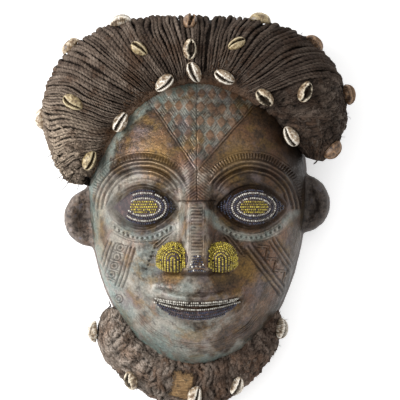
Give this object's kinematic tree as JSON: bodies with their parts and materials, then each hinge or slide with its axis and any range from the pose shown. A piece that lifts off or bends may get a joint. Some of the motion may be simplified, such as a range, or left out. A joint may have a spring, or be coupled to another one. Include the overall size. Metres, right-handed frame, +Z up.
{
  "type": "bamun mask",
  "caption": "Carved wooden face mask clad in embossed copper sheet, hollow behind, with a corded hair roll, a matted beard, sewn cowrie shells and beaded eyes, nostrils and lip.",
  "frame": {"origin": "on the surface that the mask lies on, under the middle of its outline", "axes": "+Z up and out of the face, +Y towards the crown of the hair, +X towards the mask's own left ear"},
  "size_m": [0.3181, 0.3899, 0.1427],
  "materials": {
    "wood": "old hand-carved wood, dark brown, worn",
    "sheet_metal": "embossed copper alloy sheet with brown and verdigris patina",
    "fibre": "twisted plant fibre cord, dusty brown",
    "tan_matting": "bare tan fibre matting",
    "shell": "old cowrie shell, soft gloss, dirt in the teeth",
    "dark_beads": "opaque navy glass seed beads",
    "yellow_beads": "opaque yellow glass seed beads",
    "white_beads": "opaque white glass seed beads"
  },
  "bodies": {
    "root": {"mask_body": "wood", "face_sheet": "sheet_metal", "hair_roll": "fibre", "beard_ruff": "fibre", "beard_patch": "tan_matting", "eye_beads_left": "dark_beads", "eye_beads_right": "dark_beads", "nostril_beads_left": "yellow_beads", "nostril_beads_right": "yellow_beads", "lip_beads": "dark_beads", "hair_cowrie_1": "shell", "hair_cowrie_2": "shell", "hair_cowrie_3": "shell", "hair_cowrie_4": "shell", "hair_cowrie_5": "shell", "hair_cowrie_6": "shell", "hair_cowrie_7": "shell", "hair_cowrie_8": "shell", "hair_cowrie_9": "shell", "hair_cowrie_10": "shell", "hair_cowrie_11": "shell", "hair_cowrie_12": "shell", "hair_cowrie_13": "shell", "hair_cowrie_14": "shell", "hair_cowrie_15": "shell", "hair_cowrie_16": "shell", "hair_cowrie_17": "shell", "hair_cowrie_18": "shell", "hair_cowrie_19": "shell", "hair_cowrie_20": "shell", "beard_cowrie_1": "shell", "beard_cowrie_2": "shell", "beard_cowrie_3": "shell", "beard_cowrie_4": "shell", "beard_cowrie_5": "shell"}
  },
  "joints": []
}
